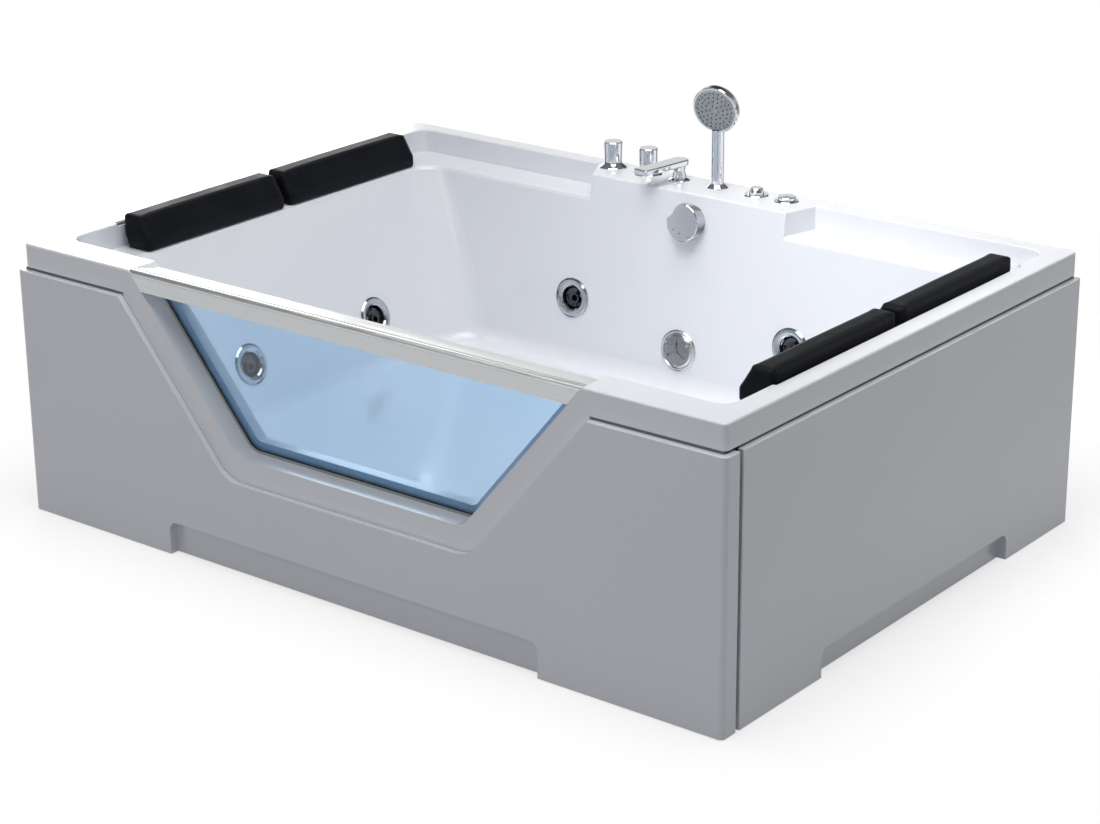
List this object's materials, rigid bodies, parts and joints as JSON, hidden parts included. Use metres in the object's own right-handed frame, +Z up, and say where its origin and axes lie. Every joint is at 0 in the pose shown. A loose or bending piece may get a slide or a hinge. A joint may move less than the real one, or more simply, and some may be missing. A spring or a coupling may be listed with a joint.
{
  "type": "jetted bathtub",
  "caption": "Rectangular jetted bath for two with a trapezoid glass front, neck pillows, deck taps with handset, wall jets, and a pump and pipework behind clip-on skirts",
  "frame": {"origin": "centre of the whole footprint, on the floor", "axes": "+X to the right along the front, +Y from the window to the wall side, +Z up"},
  "size_m": [1.72, 1.213, 0.7932],
  "materials": {
    "acrylic": "glossy white acrylic",
    "panel_acrylic": "smooth white acrylic panel",
    "window_glass": "clear tempered glass with a faint blue tint",
    "seal_rubber": "black sealant",
    "rail_aluminium": "brushed anodised aluminium",
    "pillow": "smooth near-black foam skin",
    "chrome": "polished chrome plating",
    "nozzle_chrome": "chromed plastic",
    "grey_plastic": "grey spray face",
    "black_plastic": "black moulded plastic",
    "pipe_white": "white pressure pipe plastic",
    "clear_tube": "milky clear tube",
    "brass": "bare brass",
    "frame_paint": "dark painted square tube",
    "bracket_steel": "zinc-plated steel",
    "foot_rubber": "moulded foot",
    "board": "plywood board",
    "motor_paint": "dark blue-grey motor paint"
  },
  "bodies": {
    "bathtub": {"tub_shell": "acrylic", "window_glass": "window_glass", "window_seal": "seal_rubber", "top_rail": "rail_aluminium", "front_panel": "panel_acrylic", "left_side_panel": "panel_acrylic", "right_side_panel": "panel_acrylic", "base_board": "board", "base_frame": "frame_paint", "frame_posts": "frame_paint", "panel_brackets": "bracket_steel", "bracket_screws": "bracket_steel", "levelling_feet": "foot_rubber", "foot_locknuts": "bracket_steel", "pillow_studs": "black_plastic", "tap_flanges": "chrome", "tap_valves": "brass", "spout_base": "chrome", "handset_holder": "chrome", "control_rings": "chrome", "air_control_body": "black_plastic", "power_switch_body": "black_plastic", "deck_locknuts": "brass", "jet_rings": "chrome", "jet_bodies": "pipe_white", "suction_cover": "chrome", "suction_screws": "bracket_steel", "suction_body": "pipe_white", "overflow_plate": "chrome", "overflow_body": "pipe_white", "overflow_pipe": "pipe_white", "drain_flange": "chrome", "drain_trap": "pipe_white", "water_pipes": "pipe_white", "suction_pipe": "pipe_white", "air_pipes": "clear_tube", "pump_volute": "black_plastic", "pump_motor": "motor_paint", "pump_base": "black_plastic"},
    "hot_knob": {"hot_tap_knob": "chrome"},
    "cold_knob": {"cold_tap_knob": "chrome"},
    "spout": {"spout": "chrome"},
    "hose_end": {"hose_nut": "chrome"},
    "handset": {"handset_body": "chrome", "handset_face": "grey_plastic"},
    "air_knob": {"air_control_knob": "chrome"},
    "power_button": {"power_button": "chrome"},
    "overflow_knob": {"overflow_knob": "chrome"},
    "waste_plug": {"drain_plug": "chrome"},
    "pillow_left_front": {"pillow_left_front": "pillow"},
    "pillow_left_back": {"pillow_left_back": "pillow"},
    "pillow_right_front": {"pillow_right_front": "pillow"},
    "pillow_right_back": {"pillow_right_back": "pillow"},
    "pump_rotor": {"pump_rotor": "bracket_steel"},
    "nozzle_1": {"jet_nozzle_1": "nozzle_chrome"},
    "nozzle_2": {"jet_nozzle_2": "nozzle_chrome"},
    "nozzle_3": {"jet_nozzle_3": "nozzle_chrome"},
    "nozzle_4": {"jet_nozzle_4": "nozzle_chrome"},
    "nozzle_5": {"jet_nozzle_5": "nozzle_chrome"},
    "nozzle_6": {"jet_nozzle_6": "nozzle_chrome"}
  },
  "joints": [
    {"name": "hot_tap_turn", "type": "hinge", "parent": "bathtub", "child": "hot_knob", "pos_m": [-0.252, 0.5635, 0.6], "axis": [0, 0, 1], "range_deg": [0, 90]},
    {"name": "cold_tap_turn", "type": "hinge", "parent": "bathtub", "child": "cold_knob", "pos_m": [-0.157, 0.5635, 0.6], "axis": [0, 0, 1], "range_deg": [0, 90]},
    {"name": "spout_swivel", "type": "hinge", "parent": "bathtub", "child": "spout", "pos_m": [-0.075, 0.5635, 0.59], "axis": [0, 0, 1], "range_deg": [-40, 40]},
    {"name": "handset_lift", "type": "slide", "parent": "bathtub", "child": "hose_end", "axis": [0, 0, 1], "range_m": [0, 0.3]},
    {"name": "handset_turn", "type": "hinge", "parent": "hose_end", "child": "handset", "pos_m": [0.024, 0.5635, 0.63], "axis": [0, 0, 1], "continuous": true},
    {"name": "air_control_turn", "type": "hinge", "parent": "bathtub", "child": "air_knob", "pos_m": [0.123, 0.5635, 0.578], "axis": [0, 0, 1], "range_deg": [0, 120]},
    {"name": "power_button_press", "type": "slide", "parent": "bathtub", "child": "power_button", "axis": [0, 0, -1], "range_m": [0, 0.004], "stiffness_N_per_m": 500, "springref_m": -0.004},
    {"name": "overflow_turn", "type": "hinge", "parent": "bathtub", "child": "overflow_knob", "pos_m": [0.014, 0.48369, 0.513], "axis": [0, -0.9933, 0.1154], "range_deg": [0, 90]},
    {"name": "waste_plug_lift", "type": "slide", "parent": "bathtub", "child": "waste_plug", "axis": [0, 0, 1], "range_m": [0, 0.012]},
    {"name": "nozzle_1_turn", "type": "hinge", "parent": "bathtub", "child": "nozzle_1", "pos_m": [-0.285, 0.458, 0.292], "axis": [0, -0.9933, 0.1154], "continuous": true},
    {"name": "nozzle_2_turn", "type": "hinge", "parent": "bathtub", "child": "nozzle_2", "pos_m": [0.285, 0.458, 0.292], "axis": [0, -0.9933, 0.1154], "continuous": true},
    {"name": "nozzle_3_turn", "type": "hinge", "parent": "bathtub", "child": "nozzle_3", "pos_m": [-0.62277, -0.1985, 0.252], "axis": [0.9378, 0, 0.3472], "continuous": true},
    {"name": "nozzle_4_turn", "type": "hinge", "parent": "bathtub", "child": "nozzle_4", "pos_m": [-0.62277, 0.1885, 0.252], "axis": [0.9378, 0, 0.3472], "continuous": true},
    {"name": "nozzle_5_turn", "type": "hinge", "parent": "bathtub", "child": "nozzle_5", "pos_m": [0.62277, -0.1985, 0.252], "axis": [-0.9378, 0, 0.3472], "continuous": true},
    {"name": "nozzle_6_turn", "type": "hinge", "parent": "bathtub", "child": "nozzle_6", "pos_m": [0.62277, 0.1885, 0.252], "axis": [-0.9378, 0, 0.3472], "continuous": true},
    {"name": "pillow_left_front_lift", "type": "slide", "parent": "bathtub", "child": "pillow_left_front", "axis": [0, 0, 1], "range_m": [0, 0.06]},
    {"name": "pillow_left_back_lift", "type": "slide", "parent": "bathtub", "child": "pillow_left_back", "axis": [0, 0, 1], "range_m": [0, 0.06]},
    {"name": "pillow_right_front_lift", "type": "slide", "parent": "bathtub", "child": "pillow_right_front", "axis": [0, 0, 1], "range_m": [0, 0.06]},
    {"name": "pillow_right_back_lift", "type": "slide", "parent": "bathtub", "child": "pillow_right_back", "axis": [0, 0, 1], "range_m": [0, 0.06]},
    {"name": "pump_spin", "type": "hinge", "parent": "bathtub", "child": "pump_rotor", "pos_m": [-0.768, 0.0965, 0.22032], "axis": [0, 1, 0], "continuous": true}
  ],
  "couplings": [
    {"joint": "waste_plug_lift", "follows": "overflow_turn", "m_per_rad": 0.0076}
  ]
}
